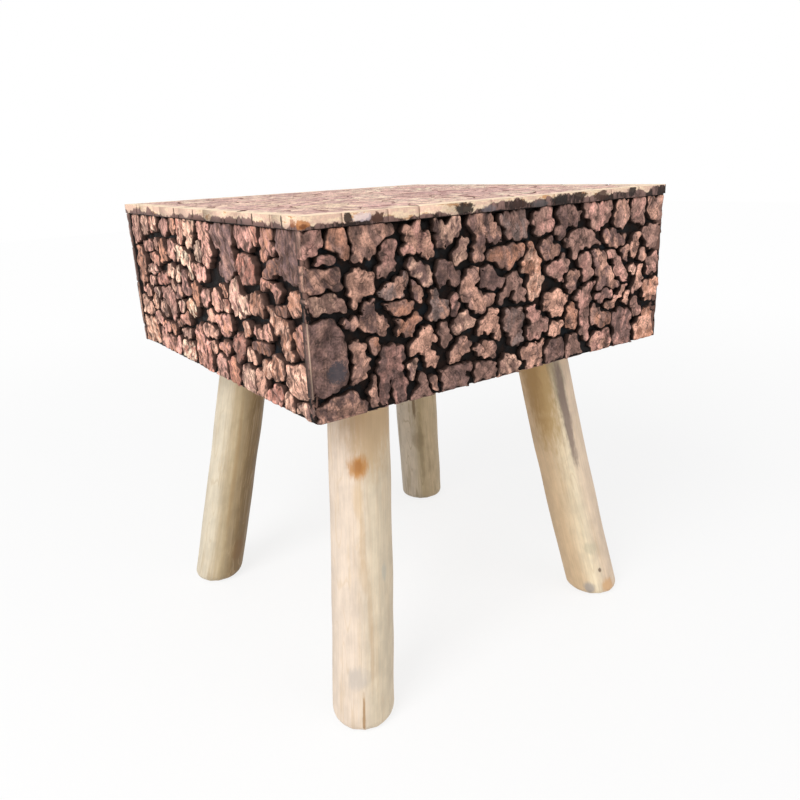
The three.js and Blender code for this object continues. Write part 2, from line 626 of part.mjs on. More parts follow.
// Corner blocks and the screws that come up into them
function addBlocks() {
  const hole = toSolid(turned(screwProfile(clearance, overrun), screwSides));
  const blockX = (boxInnerWidth - blockSide) / 2;
  const blockY = (boxInnerDepth - blockSide) / 2;
  legs.forEach(({ name, sideX, sideY }) => {
    let block = toSolid(standingBox(blockSide, blockSide, blockHeight));
    screwPlaces(sideX, sideY).forEach(([x, y], i) => {
      const fromX = x - sideX * blockX;
      const fromY = y - sideY * blockY;
      block = block.subtract(hole.translate(fromX, fromY, -boardThickness));
      addPiece(`block_screw_${name}_${i + 1}`, turned(screwProfile(0, 0), screwSides), steelMaterial(),
        x, y, legHeight);
    });
    addPiece(`corner_block_${name}`, toGeometry(block), blockMaterial(),
      sideX * blockX, sideY * blockY, floorBoardTop);
  });
}

// One peeled log, cut flat at the floor and under the box, its foot rounded
function legGeometry({ sideX, sideY, girthShare, topShares, footShares, bowShares, lobeShares }) {
  const lean = new THREE.Vector2(
    sideX * legSplayOffset + (footShares[0] - topShares[0]) * legDiameter,
    sideY * legSplayOffset + (footShares[1] - topShares[1]) * legDiameter,
  );
  const stretch = Math.hypot(lean.length(), legHeight) / legHeight;
  const leanAngle = lean.angle();
  const radius = legDiameter / 2 * girthShare;
  const rings = [];
  for (let i = 0; i <= footRingCount; i += 1) {
    const turn = Math.PI / 2 * i / footRingCount;
    rings.push({
      height: footRounding * (1 - Math.cos(turn)),
      inset: footRounding * (1 - Math.sin(turn)),
    });
  }
  legRingShares.forEach((share) => {
    rings.push({ height: THREE.MathUtils.lerp(footRounding, legHeight, share), inset: 0 });
  });
  const positions = [];
  const [twoLobeShare, twoLobeTurn, threeLobeShare, threeLobeTurn] = lobeShares;
  rings.forEach(({ height, inset }) => {
    const down = 1 - height / legHeight;
    const bow = Math.sin(Math.PI * down) * legDiameter;
    const taper = THREE.MathUtils.lerp(1 - legTaperShare, 1 + legTaperShare, down);
    for (let i = 0; i < legSides; i += 1) {
      const angle = 2 * Math.PI * i / legSides;
      const swell = 1 + twoLobeShare * Math.cos(2 * (angle - 2 * Math.PI * twoLobeTurn))
        + threeLobeShare * Math.cos(3 * (angle - 2 * Math.PI * threeLobeTurn) + down * Math.PI);
      const reach = radius * swell * taper - inset;
      const along = reach * Math.cos(angle) * stretch;
      const across = reach * Math.sin(angle);
      positions.push(
        lean.x * down + bow * bowShares[0] + along * Math.cos(leanAngle) - across * Math.sin(leanAngle),
        lean.y * down + bow * bowShares[1] + along * Math.sin(leanAngle) + across * Math.cos(leanAngle),
        height,
      );
    }
  });
  const index = [];
  for (let ring = 0; ring < rings.length - 1; ring += 1) {
    for (let i = 0; i < legSides; i += 1) {
      const a = ring * legSides + i;
      const b = ring * legSides + (i + 1) % legSides;
      index.push(a, b, b + legSides, a, b + legSides, a + legSides);
    }
  }
  const last = (rings.length - 1) * legSides;
  for (let i = 1; i < legSides - 1; i += 1) {
    index.push(0, i + 1, i, last, last + i, last + i + 1);
  }
  const geometry = new THREE.BufferGeometry();
  geometry.setAttribute('position', new THREE.BufferAttribute(new Float32Array(positions), 3));
  geometry.setIndex(index);
  return geometry;
}

// The legs, each bored for its bolt, with the bolt and the nut that draws it up
function addLegs() {
  const boltRadius = boltDiameter / 2;
  const boreRadius = boltRadius + clearance;
  const boltTop = floorBoardTop + flangeThickness + boltPastNut;
  const boltBase = legHeight - boltInLeg;
  const bore = toSolid(turned([
    [0, boltBase - clearance],
    [boreRadius, boltBase - clearance],
    [boreRadius, legHeight + overrun],
    [0, legHeight + overrun],
  ], hardwareSides));
  legs.forEach((leg) => {
    const [x, y] = legTopPlace(leg);
    const log = toSolid(legGeometry(leg)).subtract(bore);
    addPiece(`leg_${leg.name}`, toGeometry(log), legMaterial(), x, y, 0);
    addPiece(`hanger_bolt_${leg.name}`, turned([
      [0, 0],
      [boltRadius / 2, 0],
      [boltRadius, boltRadius],
      [boltRadius, boltTop - boltBase],
      [0, boltTop - boltBase],
    ], hardwareSides), steelMaterial(), x, y, boltBase);
    addPiece(`t_nut_${leg.name}`, turned([
      [boreRadius, 0],
      [barrelDiameter / 2, 0],
      [barrelDiameter / 2, barrelLength],
      [flangeDiameter / 2, barrelLength],
      [flangeDiameter / 2, barrelLength + flangeThickness],
      [boreRadius, barrelLength + flangeThickness],
      [boreRadius, 0],
    ], hardwareSides), steelMaterial(), x, y, floorBoardTop - barrelLength);
  });
}

addSkin();
addBoards();
addFloorBoard();
addBlocks();
addLegs();

export default stool;
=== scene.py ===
import json
import math
import random

import bmesh
import bpy
from mathutils import Matrix, Vector, kdtree, noise


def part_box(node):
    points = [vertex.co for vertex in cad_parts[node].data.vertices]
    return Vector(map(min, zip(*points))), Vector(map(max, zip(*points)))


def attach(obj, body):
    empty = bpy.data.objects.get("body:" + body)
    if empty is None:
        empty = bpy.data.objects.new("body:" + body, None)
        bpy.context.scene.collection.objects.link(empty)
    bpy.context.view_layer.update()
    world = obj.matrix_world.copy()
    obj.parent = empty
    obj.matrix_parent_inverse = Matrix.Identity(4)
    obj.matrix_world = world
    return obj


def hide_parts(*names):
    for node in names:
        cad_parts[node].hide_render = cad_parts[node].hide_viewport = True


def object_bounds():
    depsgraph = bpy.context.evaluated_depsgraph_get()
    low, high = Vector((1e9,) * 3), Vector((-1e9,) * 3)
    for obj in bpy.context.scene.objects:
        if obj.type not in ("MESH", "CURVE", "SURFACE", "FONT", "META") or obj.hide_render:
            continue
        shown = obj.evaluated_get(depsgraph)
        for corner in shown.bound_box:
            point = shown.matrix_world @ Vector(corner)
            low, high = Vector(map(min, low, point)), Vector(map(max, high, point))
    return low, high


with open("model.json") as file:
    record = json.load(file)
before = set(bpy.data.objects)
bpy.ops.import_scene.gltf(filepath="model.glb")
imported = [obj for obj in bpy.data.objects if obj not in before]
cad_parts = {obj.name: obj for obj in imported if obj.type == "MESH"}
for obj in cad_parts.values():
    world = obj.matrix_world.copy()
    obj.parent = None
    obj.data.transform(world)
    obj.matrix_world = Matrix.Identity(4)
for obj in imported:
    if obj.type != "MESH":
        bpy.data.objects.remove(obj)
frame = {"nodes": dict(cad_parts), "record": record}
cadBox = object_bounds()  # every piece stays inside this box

mm = 0.001
nodes = frame["nodes"]


def paint(red, green, blue):  # a colour as a screen shows it, in the linear values of a shader
    parts = []
    for part in (red, green, blue):
        share = part / 255
        parts.append(share / 12.92 if share < 0.04 else ((share + 0.055) / 1.055) ** 2.4)
    return (*parts, 1.0)


def finishMesh(mesh, name, smooth=True):  # turns a bmesh into an object at the origin
    data = bpy.data.meshes.new(name)
    for face in mesh.faces:
        face.smooth = smooth
    mesh.to_mesh(data)
    mesh.free()
    piece = bpy.data.objects.new(name, data)
    bpy.context.scene.collection.objects.link(piece)
    return piece


# materials: a few helpers that keep the node trees short

cloudLow, cloudHigh = 0.3, 0.7  # most of a cloud's values lie between these


def newMaterial(name, roughness):
    material = bpy.data.materials.new(name)
    material.use_nodes = True
    tree = material.node_tree
    shader = tree.nodes["Principled BSDF"]
    shader.inputs["Roughness"].default_value = roughness
    return material, tree, shader


def addNode(tree, kind, inputs=None, **settings):
    made = tree.nodes.new(kind)
    for name, value in settings.items():
        setattr(made, name, value)
    for name, value in (inputs or {}).items():
        if isinstance(value, bpy.types.NodeSocket):
            tree.links.new(value, made.inputs[name])
        else:
            made.inputs[name].default_value = value
    return made


def stretched(tree, place, scale, turn=(0, 0, 0)):  # the same place, counted in other steps
    settings = {"Vector": place, "Scale": scale, "Rotation": turn}
    return addNode(tree, "ShaderNodeMapping", settings).outputs["Vector"]


def cloud(tree, place, scale, detail=3.0, roughness=0.55, distortion=0.0):
    settings = {"Vector": place, "Scale": scale, "Detail": detail,
                "Roughness": roughness, "Distortion": distortion}
    return addNode(tree, "ShaderNodeTexNoise", settings).outputs["Fac"]


def ramp(tree, value, low, high, start=0.0, end=1.0):  # value from low to high becomes start to end
    settings = {"Value": value, "From Min": low, "From Max": high, "To Min": start, "To Max": end}
    return addNode(tree, "ShaderNodeMapRange", settings, interpolation_type="SMOOTHSTEP").outputs["Result"]


def cloudTo(tree, figure, start, end):  # a cloud's low to high values become start to end
    return ramp(tree, figure, cloudLow, cloudHigh, start, end)


def calc(tree, operation, first, second=0.0):
    return addNode(tree, "ShaderNodeMath", {0: first, 1: second}, operation=operation).outputs[0]


def blendColors(tree, share, first, second, kind="MIX"):
    made = addNode(tree, "ShaderNodeMix", {0: share, 6: first, 7: second}, data_type="RGBA", blend_type=kind)
    return made.outputs[2]


def shadeBy(tree, color, value):  # darkens or lightens a colour by a plain number
    grey = addNode(tree, "ShaderNodeCombineColor", {0: value, 1: value, 2: value}).outputs[0]
    return blendColors(tree, 1.0, color, grey, "MULTIPLY")


def roughen(tree, shader, height, strength, distance):
    settings = {"Height": height, "Strength": strength, "Distance": distance}
    bump = addNode(tree, "ShaderNodeBump", settings)
    tree.links.new(bump.outputs["Normal"], shader.inputs["Normal"])


def readAttribute(tree, name, output):
    return addNode(tree, "ShaderNodeAttribute", attribute_name=name).outputs[output]


def objectPlace(tree):
    return addNode(tree, "ShaderNodeTexCoord").outputs["Object"]


def partOf(tree, place, axis):
    return addNode(tree, "ShaderNodeSeparateXYZ", {0: place}).outputs[axis]


def fromMiddle(tree, place, operation):  # the larger or smaller distance from the two upright middle planes
    parts = addNode(tree, "ShaderNodeVectorMath", {0: place}, operation="ABSOLUTE").outputs[0]
    return calc(tree, operation, partOf(tree, parts, "X"), partOf(tree, parts, "Y"))


def spreadFrom(tree, value, middle, share):  # how far a value lies from its middle, times a share
    return calc(tree, "MULTIPLY", calc(tree, "SUBTRACT", value, middle), share)


def addMarks(tree, color, place, wobble, edges, marks):  # oval marks with uneven edges
    uneven, outer, inner = edges
    wobble = spreadFrom(tree, wobble, 0.5, uneven)
    for middle, reach, length, tint, share in marks:
        reach, length = reach * mm, length * mm
        ends = {0: place, 1: Vector(middle) * mm}
        gap = addNode(tree, "ShaderNodeVectorMath", ends, operation="SUBTRACT").outputs[0]
        gap = stretched(tree, gap, (1 / reach, 1 / reach, 1 / length))
        gap = addNode(tree, "ShaderNodeVectorMath", {0: gap}, operation="LENGTH").outputs["Value"]
        gap = calc(tree, "ADD", gap, wobble)
        color = blendColors(tree, ramp(tree, gap, outer, inner, 0.0, share), color, tint)
    return color


def setSurface(tree, shader, color, roughness):
    tree.links.new(color, shader.inputs["Base Color"])
    tree.links.new(roughness, shader.inputs["Roughness"])


# the sawn slices

woods = {  # the tones of the driftwood
    "mauve": paint(112, 86, 80),
    "plum": paint(108, 84, 81),
    "taupe": paint(138, 106, 95),
    "grey": paint(122, 102, 96),
    "tan": paint(184, 140, 121),
    "orange": paint(168, 120, 98),
    "red": paint(152, 104, 90),
    "rose": paint(178, 132, 120),
    "pale": paint(216, 172, 150),
    "pink": paint(222, 184, 170),
    "lilac": paint(202, 162, 155),
    "cream": paint(242, 214, 186),
}

frontTones = {"mauve": 6, "taupe": 9, "grey": 2, "tan": 4, "orange": 1, "red": 1.5}
frontTints = {"tan": 6, "taupe": 3, "pale": 2, "orange": 1.5, "rose": 3}
leftTones = {"mauve": 1.5, "taupe": 3, "rose": 7, "tan": 6, "red": 3, "orange": 4}
leftTints = {"pale": 6, "rose": 3, "tan": 4, "orange": 2}
topTones = {"pink": 8, "lilac": 5, "cream": 1}
topTints = {"cream": 6, "pink": 3, "lilac": 2}

panels = {  # shade: how light a face is painted at its start, middle and end, partly its wood's tone and partly painted light and shade, the left face lightest where the light falls. grain: how fine the wood is
    "front": {
        "across": (1, 0, 0), "up": (0, 0, 1), "out": (0, -1, 0), "spread": 1.3,
        "tones": frontTones, "tints": frontTints, "shade": (0.92, 1.06, 1.5), "grain": 1.1},
    "back": {
        "across": (-1, 0, 0), "up": (0, 0, 1), "out": (0, 1, 0), "spread": 1.6,
        "tones": frontTones, "tints": frontTints, "shade": (1, 1, 1), "grain": 1.1},
    "left": {
        "across": (0, -1, 0), "up": (0, 0, 1), "out": (-1, 0, 0), "spread": 1.7,
        "tones": leftTones, "tints": leftTints, "shade": (1.26, 1.7, 1.04), "grain": 1.8},
    "right": {
        "across": (0, 1, 0), "up": (0, 0, 1), "out": (1, 0, 0), "spread": 1.7,
        "tones": leftTones, "tints": leftTints, "shade": (1, 1, 1), "grain": 1.1},
    "top": {
        "across": (1, 0, 0), "up": (0, 1, 0), "out": (0, 0, 1), "spread": 1.6,
        "tones": topTones, "tints": topTints, "shade": (1.02, 1.06, 1.3), "grain": 1.1},
}

accents = {  # slices that stand out: place across and up in millimetres, tone, sawn end
    "front": [(-184, 50, "mauve", 0.45), (-140, 40, "orange", 0.3), (-125, 70, "orange", 0.3),
              (-100, 60, "orange", 0.3)],
    "left": [(178, 118, "plum", 0.3), (58, 110, "plum", 0.3), (100, 105, "red", 0.3), (68, 35, "red", 0.3)],
}

sliceLook = {  # lengths in millimetres
    "cornerPercent": 15, "cornerSegments": 2, "spacing": 1.6, "mostCuts": 23, "closest": 0.6,
    "lobe": 5.8, "lobeSize": 7.0, "lobeGain": 2.5, "lobeDrop": 0.5, "ragged": 0.9, "raggedSize": 3.0,
    "even": 0.36, "leastGap": 0.8, "lookRound": 12, "facing": 0.7,
    "seam": 0.3, "seamRagged": 3.6, "cornerSeam": 0.2, "seamReach": 6, "seamPull": 4,
    "endRagged": [(3.4, 0.5)],  # size of the lumps, height
    "root": 0.5, "flankRings": (1, 0.9), "flank": 0.6, "flankSize": 4.0, "flankFrom": 0.1, "flankTo": 0.85,
    "shoulderIn": 2.4, "shoulderUp": 1.8, "shoulderShare": 0.26,
    "shoulderRings": [(0.1, 0.42, 0.6), (0.28, 0.34, 0.24), (0.62, 0.24, 0.05)],  # shares in and up, and darkness: bark and painted shade towards each slice's edge
    "faceStep": 3.4, "faceTurn": 0.5, "snap": 0.35, "sink": 1.0, "tilt": 0.05,
    "relief": 2.0, "reliefSize": 7.0, "reliefRise": 0.4, "lump": 0.9, "lumpSize": 3.4,
    "worn": 1.4, "wornSize": 6, "rimEdge": 0.15, "accentReach": 16,
    "levels": (0.86, 1.14), "palest": 0.92, "sawn": 0.1, "grainStep": 0.05, "lean": 0.6,
}
seatLook = sliceLook | {
    "lobe": 1.2, "ragged": 0.3, "leastGap": 0.4, "seam": 0, "seamRagged": 0, "seamPull": 0,
    "endRagged": [(15, 1.6), (5, 1.2)], "root": 0.3, "shoulderIn": 0.5, "shoulderUp": 0.4,
    "faceStep": 7, "sink": 0.1, "tilt": 0.0, "relief": 0.15, "lump": 0.1,
    "worn": 0.3, "rimEdge": 1, "sawn": 1.0, "lean": math.pi,
}

weld = 0.01 * mm
sliver = 0.02 * mm
noiseStep = 7.3  # sets the noise of one slice apart from the next


def panelSides(name):  # the ways of a face, and how far it reaches along them
    ways = [Vector(panels[name][way]) for way in ("across", "up", "out")]
    low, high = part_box(f"slices_{name}")
    return ways, [sorted((low.dot(way), high.dot(way))) for way in ways]


def bumpAt(place, size, shift):  # smooth noise, the same for the same place, size and shift
    return noise.noise(place / (size * mm) + Vector((shift, shift, shift)) * noiseStep)


def flatSlices(name, out):  # a copy of a CAD face, cut down to one flat face for each raised slice
    mesh = bmesh.new()
    mesh.from_mesh(nodes[f"slices_{name}"].data)
    bmesh.ops.remove_doubles(mesh, verts=mesh.verts, dist=weld)
    top = max(v.co.dot(out) for v in mesh.verts)
    lower = [f for f in mesh.faces if any(v.co.dot(out) < top - sliver for v in f.verts)]
    bmesh.ops.delete(mesh, geom=lower, context="FACES")
    inner = [e for e in mesh.edges if len(e.link_faces) == 2]
    bmesh.ops.dissolve_edges(mesh, edges=inner, use_verts=False)
    return mesh


def roundCorners(mesh, look, rimsAt):  # cuts the corners and evens out the points of each outline
    bmesh.ops.bevel(
        mesh, geom=[v for v in mesh.verts if not rimsAt(v.co)], offset=look["cornerPercent"],
        offset_type="PERCENT", affect="VERTICES", segments=look["cornerSegments"], profile=0.5, material=-1)
    span = look["spacing"] * mm
    for cuts in range(1, look["mostCuts"] + 1):
        long = [e for e in mesh.edges if cuts + 0.5 <= e.calc_length() / span < cuts + 1.5]
        bmesh.ops.bisect_edges(mesh, edges=long, cuts=cuts)
    bmesh.ops.remove_doubles(mesh, verts=mesh.verts, dist=look["closest"] * mm)


def spreadOutlines(mesh, look, spread, ways, rimsAt):  # swells each outline in lobes, as far as there is room
    across, up, _ = ways
    number = mesh.verts.layers.int.new("number")
    corners = [
        (loop, loop.vert.co.copy(), index)
        for index, face in enumerate(mesh.faces) for loop in face.loops]
    tree = kdtree.KDTree(len(corners))
    for spot, (_, place, _) in enumerate(corners):
        tree.insert(place, spot)
    tree.balance()
    moves = []
    for loop, place, index in corners:
        loop.vert[number] = index
        way = -loop.calc_tangent()
        room = look["lookRound"] * mm
        for near, spot, distance in tree.find_range(place, room):
            ahead = (near - place).dot(way)
            facing = ahead > 0
            if corners[spot][2] == index:
                facing = ahead > look["facing"] * distance and distance > 2 * look["spacing"] * mm
            if facing:
                room = min(room, distance)
        lobe = abs(bumpAt(place, look["lobeSize"], index)) * look["lobeGain"] - look["lobeDrop"]
        step = spread + look["lobe"] * lobe + look["ragged"] * bumpAt(place, look["raggedSize"], index)
        step = min(step * mm, (room - look["leastGap"] * mm) / 2)
        rims = rimsAt(place)
        upright = "left" in rims or "right" in rims
        if upright:
            way -= across * way.dot(across)
        if "low" in rims or "high" in rims:
            way -= up * way.dot(up)
        move = way * step
        if "high" in rims:
            seam = look["seam"] + look["seamRagged"] * bumpAt(place, look["lobeSize"], 0)
            move -= up * mm * (look["cornerSeam"] if upright else seam)
        moves.append(move)
    for (loop, place, _), move in zip(corners, moves):
        loop.vert.co = place + move
    inner = [loop.vert for loop, place, _ in corners if not rimsAt(place)]
    bmesh.ops.smooth_vert(
        mesh, verts=inner, factor=look["even"], use_axis_x=True, use_axis_y=True, use_axis_z=True)


def raiseSlice(mesh, face, out, height, look, edge):  # the flank and the round shoulder of one slice
    room = 2 * face.calc_area() / face.calc_perimeter()
    inTo = min(look["shoulderIn"] * mm, room * look["shoulderShare"])
    upTo = inTo * look["shoulderUp"] / look["shoulderIn"]
    for vert in face.verts:
        vert[edge] = 1
    base = face
    for darkness in look["flankRings"]:
        lower = face
        grown = bmesh.ops.extrude_face_region(mesh, geom=[lower])["geom"]
        face = next(g for g in grown if isinstance(g, bmesh.types.BMFace))
        if lower is not base:  # an extruded face leaves one behind: only the base stays
            bmesh.ops.delete(mesh, geom=[lower], context="FACES_ONLY")
        rise = out * (height - upTo) / len(look["flankRings"])
        bmesh.ops.translate(mesh, vec=rise, verts=face.verts)
        for vert in face.verts:
            vert[edge] = darkness
    for inward, upward, darkness in look["shoulderRings"]:
        face.normal_update()
        bmesh.ops.inset_individual(mesh, faces=[face], thickness=inTo * inward, depth=upTo * upward)
        for vert in face.verts:
            vert[edge] = darkness
    return face


def cutFaces(mesh, faces, look, ways, edge):  # a turned grid over the faces, for their lumps
    across, up, _ = ways
    cut = list({*faces, *(e for f in faces for e in f.edges), *(v for f in faces for v in f.verts)})
    step = look["faceStep"] * mm
    for turn in (look["faceTurn"], look["faceTurn"] + math.pi / 2):
        way = across * math.cos(turn) + up * math.sin(turn)
        places = [v.co.dot(way) for v in mesh.verts]
        for line in range(math.ceil(min(places) / step), math.ceil(max(places) / step)):
            cut = bmesh.ops.bisect_plane(
                mesh, geom=cut, dist=look["snap"] * mm, plane_co=way * line * step, plane_no=way)["geom"]
    caps = {g for g in cut if isinstance(g, bmesh.types.BMFace)}
    for vert in {v for f in caps for v in f.verts}:
        if all(f in caps for f in vert.link_faces):
            vert[edge] = 0


def shadeAlong(levels, share):  # from the first level over the middle one to the last
    start, middle, end = levels
    return middle + (start - middle) * max(0, 1 - 2 * share) + (end - middle) * max(0, 2 * share - 1)


def litWood(tone, level):  # a tone, lighter or darker, and never paler than wood can be
    return Vector([min(part * level, sliceLook["palest"]) for part in woods[tone]])


def sliceTraits(name, look, faces):  # the tone, the lean and the way of the grain of each slice
    panel = panels[name]
    (across, up, out), ((leftEnd, rightEnd), (lowEnd, _), _) = panelSides(name)
    spots = [
        (across * a * mm + up * (lowEnd + b * mm), tone, sawn)
        for a, b, tone, sawn in accents.get(name, [])]
    chance = random.Random(name)
    traits = []
    for face in faces:
        middle = face.calc_center_median()
        tone, tint = (
            chance.choices(list(panel[kind]), panel[kind].values())[0] for kind in ("tones", "tints"))
        sawn = look["sawn"]
        for spot, accentTone, accentSawn in spots:
            aside = middle - spot
            if math.hypot(aside.dot(across), aside.dot(up)) < look["accentReach"] * mm:
                tone, tint, sawn = accentTone, "taupe", accentSawn
        # painted light and shade: each slice is painted lighter or darker by where it sits along its face
        shade = shadeAlong(panel["shade"], (middle.dot(across) - leftEnd) / (rightEnd - leftEnd))
        level = chance.uniform(*look["levels"]) * shade
        traits.append({
            "middle": middle, "sawn": sawn, "color": litWood(tone, level), "tint": litWood(tint, level),
            "sink": look["sink"] * mm * chance.random(), "ring": chance.random() ** 3,
            "lean": (across * chance.uniform(-1, 1) + up * chance.uniform(-1, 1)) * look["tilt"],
            "turn": Matrix.Rotation(chance.uniform(-1, 1) * look["lean"], 3, out)})
    return traits


def shapeSlices(mesh, name, look, traits, rimsAt):  # lumps and wear, and what the material reads
    (across, up, out), ((leftEnd, rightEnd), (lowEnd, highEnd), (back, top)) = panelSides(name)
    tone, tint = (mesh.verts.layers.float_color.new(layer) for layer in ("tone", "tint"))
    grain = mesh.verts.layers.float_vector.new("grain")
    layers = ("raised", "deep", "end", "sawn", "ring")
    raised, deep, end, sawn, ring = (mesh.verts.layers.float.new(layer) for layer in layers)
    number, edge = mesh.verts.layers.int["number"], mesh.verts.layers.float["edge"]
    for vert in mesh.verts:
        index = vert[number]
        own = traits[index]
        place = vert.co.copy()
        rims = [rim for rim in rimsAt(place) if rim != "high" or name == "top"]
        depth = top - place.dot(out)
        share = 1 - depth / (top - back)
        away = place - own["middle"]
        away -= out * away.dot(out)
        if not rims and look["flankFrom"] < share < look["flankTo"]:
            vert.co += away.normalized() * look["flank"] * mm * bumpAt(place, look["flankSize"], index)
        relief = bumpAt(place, look["reliefSize"], index)
        lump = bumpAt(place, look["lumpSize"], index)
        bumps = look["relief"] * (look["reliefRise"] + relief) + look["lump"] * lump
        drop = own["sink"] + away.dot(own["lean"]) + bumps * mm
        w = place.dot(out) - max(0, drop) * max(0, share) ** 2
        if rims and share < look["flankFrom"]:
            w += sum(height * mm * abs(bumpAt(place, size, 0)) for size, height in look["endRagged"])
        worn = look["worn"] * mm * share * abs(bumpAt(place, look["wornSize"], 1))
        a = min(max(vert.co.dot(across), leftEnd + worn), rightEnd - worn)
        pull = look["seamPull"] * mm * max(0, 1 - (highEnd - place.dot(up)) / (look["seamReach"] * mm))
        b = min(max(vert.co.dot(up) + pull, lowEnd), highEnd)  # the slices reach up to the seat
        vert.co = across * a + up * b + out * min(w, top)
        turned = own["turn"] @ away
        figure = Vector((turned.dot(across), turned.dot(up), depth + index * look["grainStep"]))
        vert[grain] = figure * panels[name]["grain"]
        vert[tone], vert[tint] = own["color"], own["tint"]
        if rims:
            vert[edge] = min(vert[edge], look["rimEdge"])
        vert[deep] = depth / (top - back)
        # how high the face stands here: the material paints high parts lighter and low parts darker, as
        # painted light and shade
        vert[raised] = 0.5 - relief - 0.5 * lump
        vert[end] = bool(rims)
        vert[sawn] = own["sawn"]
        vert[ring] = own["ring"]


def buildSlices(name):
    look = seatLook if name == "top" else sliceLook
    ways, ((leftEnd, rightEnd), (lowEnd, highEnd), (back, top)) = panelSides(name)
    across, up, out = ways

    def rimsAt(point):
        a, b = point.dot(across), point.dot(up)
        gaps = {"left": a - leftEnd, "right": rightEnd - a, "low": b - lowEnd, "high": highEnd - b}
        return [rim for rim, gap in gaps.items() if gap < sliver]

    mesh = flatSlices(name, out)
    roundCorners(mesh, look, rimsAt)
    spreadOutlines(mesh, look, panels[name]["spread"], ways, rimsAt)
    traits = sliceTraits(name, look, mesh.faces)
    edge = mesh.verts.layers.float.new("edge")
    root = look["root"] * mm
    bmesh.ops.translate(mesh, vec=out * (back + root - top), verts=mesh.verts)
    faces = [raiseSlice(mesh, face, out, top - back - root, look, edge) for face in mesh.faces[:]]
    cutFaces(mesh, faces, look, ways, edge)
    shapeSlices(mesh, name, look, traits, rimsAt)
    return finishMesh(mesh, f"driftwood_{name}")


def sliceMaterial(name, look):
    material, tree, shader = newMaterial(name, 0.65)
    shader.inputs["Specular IOR Level"].default_value = look["gloss"]
    tone, tint = (readAttribute(tree, layer, "Color") for layer in ("tone", "tint"))
    grain = readAttribute(tree, "grain", "Vector")
    layers = ("edge", "raised", "deep", "end", "sawn", "ring")
    edge, raised, deep, end, sawn, ring = (readAttribute(tree, layer, "Fac") for layer in layers)
    here = objectPlace(tree)
    patches = cloud(tree, stretched(tree, grain, (1.5, 0.7, 1)), look["patchScale"], 3.0, 0.55, 0.2)
    hollows = cloud(tree, stretched(tree, grain, (1.2, 0.8, 1.7)), look["patchScale"], 3.0, 0.6, 0.2)
    specks = cloud(tree, grain, 480.0, 4.0, 0.7)
    fibres = cloud(tree, stretched(tree, grain, (700, 160, 300)), 1.0, 3.0, 0.6, 0.6)
    color = blendColors(tree, ramp(tree, patches, 0.42, 0.6, 0.0, look["tintShare"]), tone, tint)
    stains = ramp(tree, hollows, *look["darkFrom"], 0.0, look["darkShare"])
    color = blendColors(tree, stains, color, look["dark"])
    creases = creaseLines(tree, look, grain, hollows)
    color = blendColors(tree, creases, color, look["bark"])
    color = shadeBy(tree, color, cloudTo(tree, specks, 1 - look["speck"], 1 + look["speck"]))
    color = shadeBy(tree, color, cloudTo(tree, fibres, 1 - look["fibre"], 1 + look["fibre"]))
    # painted light and shade: the raised parts of each slice are painted lighter and its hollows darker
    color = shadeBy(tree, color, ramp(tree, raised, 0.1, 0.9, 1 - look["relief"], 1 + look["relief"]))
    waves = addNode(tree, "ShaderNodeTexWave", {
        "Vector": grain, "Scale": 120.0, "Distortion": 2.0, "Detail": 2.0, "Detail Scale": 60.0},
        wave_type="RINGS", rings_direction="Z").outputs["Fac"]
    rings = ramp(tree, calc(tree, "MULTIPLY", waves, ring), 0.0, 1.0, 1.0, look["rings"])
    color = shadeBy(tree, color, rings)
    color = addMarks(tree, color, here, specks, look["markEdges"], look["marks"])

    # the ends of the slices along the rims
    if look["rimPale"]:
        rim = rimColor(tree, look, here, deep, specks)
        aside = fromMiddle(tree, here, "MAXIMUM")
        aside = calc(tree, "ADD", aside, spreadFrom(tree, cloud(tree, here, 60.0, 3.0), 0.5, 0.05))
        nearRim = ramp(tree, aside, *look["paleFrom"], 0.0, look["rimPale"])
        color = blendColors(tree, nearRim, color, look["pale"])
    else:
        rim = blendColors(tree, ramp(tree, deep, 0.5, 0.95, 0.0, 0.7), color, look["bark"])
        cut = calc(tree, "MULTIPLY", sawn, ramp(tree, deep, 0.45, 0.2))
        rim = blendColors(tree, cut, rim, look["pale"])

    # bark on each slice's flank, and painted shade: each slice darkens towards its edge
    barkAndEdgeShade = ramp(tree, calc(tree, "ADD", edge, calc(tree, "MULTIPLY", patches, 0.5)), 0.4, 1.15)
    color = blendColors(tree, barkAndEdgeShade, color, look["bark"])
    # painted shade: the deep part of each slice's flank, down among the gaps, darkens to the pit colour
    color = blendColors(tree, ramp(tree, deep, 0.4, 0.95), color, look["pitShade"])
    color = blendColors(tree, end, color, rim)
    setSurface(tree, shader, color, cloudTo(tree, specks, 0.6, 0.85))
    height = calc(tree, "ADD", calc(tree, "MULTIPLY", specks, 0.7), calc(tree, "MULTIPLY", fibres, 0.3))
    height = calc(tree, "SUBTRACT", height, calc(tree, "MULTIPLY", creases, look["creaseDepth"]))
    roughen(tree, shader, height, look["bump"], 1.0 * mm)
    return material


def creaseLines(tree, look, grain, hollows):  # narrow dark splits where the wood is hollow
    creases = cloud(tree, stretched(tree, grain, look["creaseWay"]), 60.0, 3.0, 0.5, 0.3)
    creases = calc(tree, "ABSOLUTE", spreadFrom(tree, creases, 0.5, 1.0))
    creases = ramp(tree, creases, look["creaseReach"], 0.0, 0.0, look["crease"])
    return calc(tree, "MULTIPLY", creases, ramp(tree, hollows, *look["creaseFrom"]))


